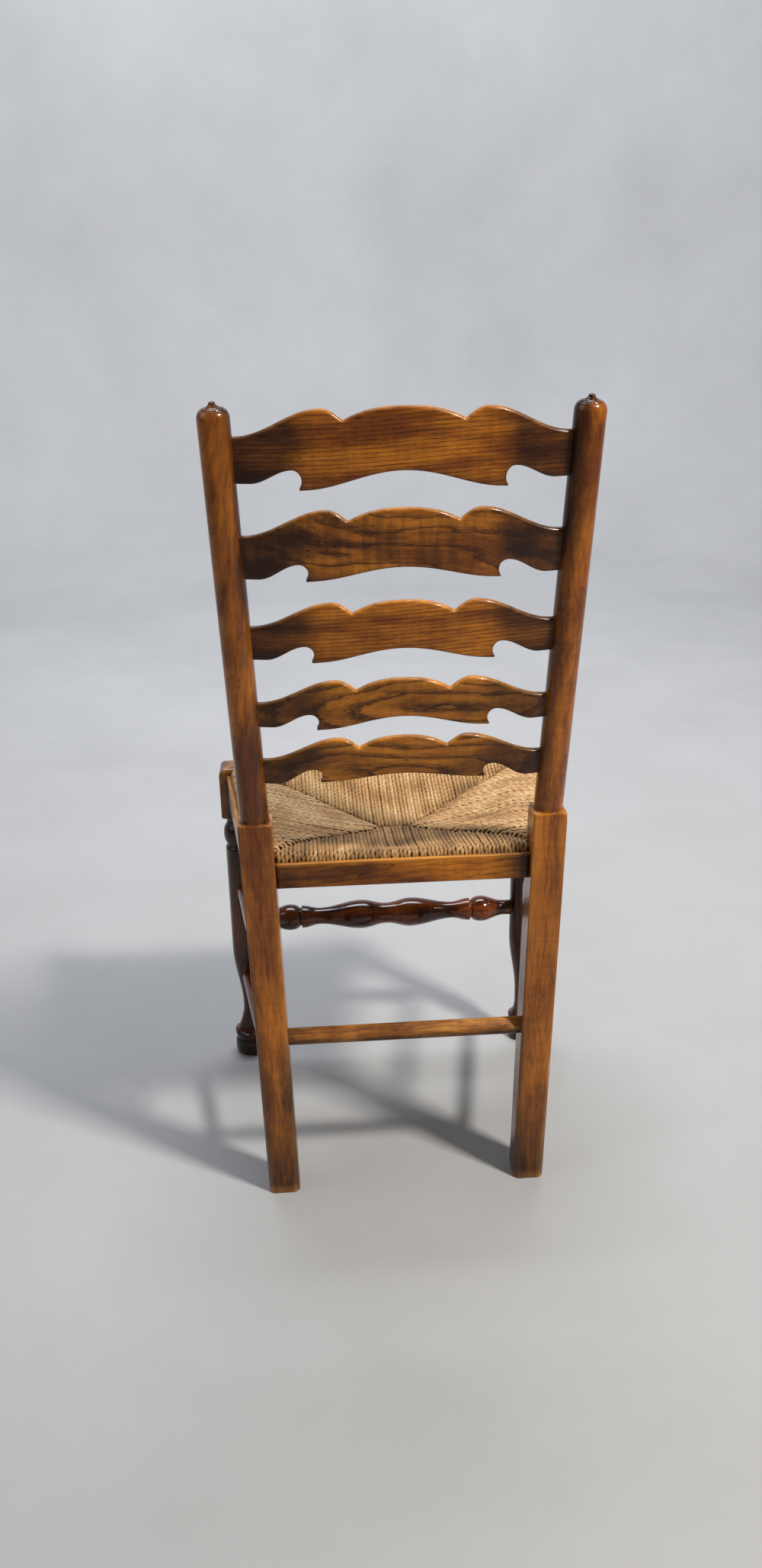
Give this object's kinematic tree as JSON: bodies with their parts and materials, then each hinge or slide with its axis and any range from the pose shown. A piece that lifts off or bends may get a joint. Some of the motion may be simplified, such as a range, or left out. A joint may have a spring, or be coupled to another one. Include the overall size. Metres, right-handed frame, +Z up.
{
  "type": "dining chair",
  "caption": "Ladder-back dining chair with waved slats, leaning turned back posts, pad-footed turned front legs, turned and plain stretchers, and a woven rush seat.",
  "frame": {"origin": "on the floor, under the centre of the chair's outer box", "axes": "+Z up, +Y to the back of the chair, so the sitter faces -Y, and +X to the sitter's left"},
  "size_m": [0.478, 0.4244, 1.0001],
  "materials": {
    "post_oak": "glossy dark-stained polish over oak, worn lighter on the arrises",
    "slat_oak": "glossy dark-stained polish over figured oak, darker at the ends",
    "turned_oak": "glossy very dark polish over turned oak",
    "strip_oak": "satin dark polish over planed oak",
    "hidden_rail_wood": "raw sawn wood",
    "peg_oak": "dark polish over end grain",
    "woven_rush": "twisted rush cord, dry and slightly shiny",
    "loose_rush": "packed rush offcuts",
    "pin_steel": "darkened iron"
  },
  "bodies": {
    "root": {"left_back_post": "post_oak", "right_back_post": "post_oak", "left_front_leg": "turned_oak", "right_front_leg": "turned_oak", "top_slat": "slat_oak", "upper_slat": "slat_oak", "middle_slat": "slat_oak", "lower_slat": "slat_oak", "bottom_slat": "slat_oak", "front_seat_rail": "hidden_rail_wood", "rear_seat_rail": "hidden_rail_wood", "left_seat_rail": "hidden_rail_wood", "right_seat_rail": "hidden_rail_wood", "rush_seat": "woven_rush", "rush_padding": "loose_rush", "front_edge_strip": "strip_oak", "rear_edge_strip": "strip_oak", "left_edge_strip": "strip_oak", "right_edge_strip": "strip_oak", "front_stretcher": "turned_oak", "rear_stretcher": "strip_oak", "upper_left_stretcher": "turned_oak", "lower_left_stretcher": "turned_oak", "upper_right_stretcher": "turned_oak", "lower_right_stretcher": "turned_oak", "edge_strip_pins": "pin_steel", "slat_pegs": "peg_oak"}
  },
  "joints": []
}
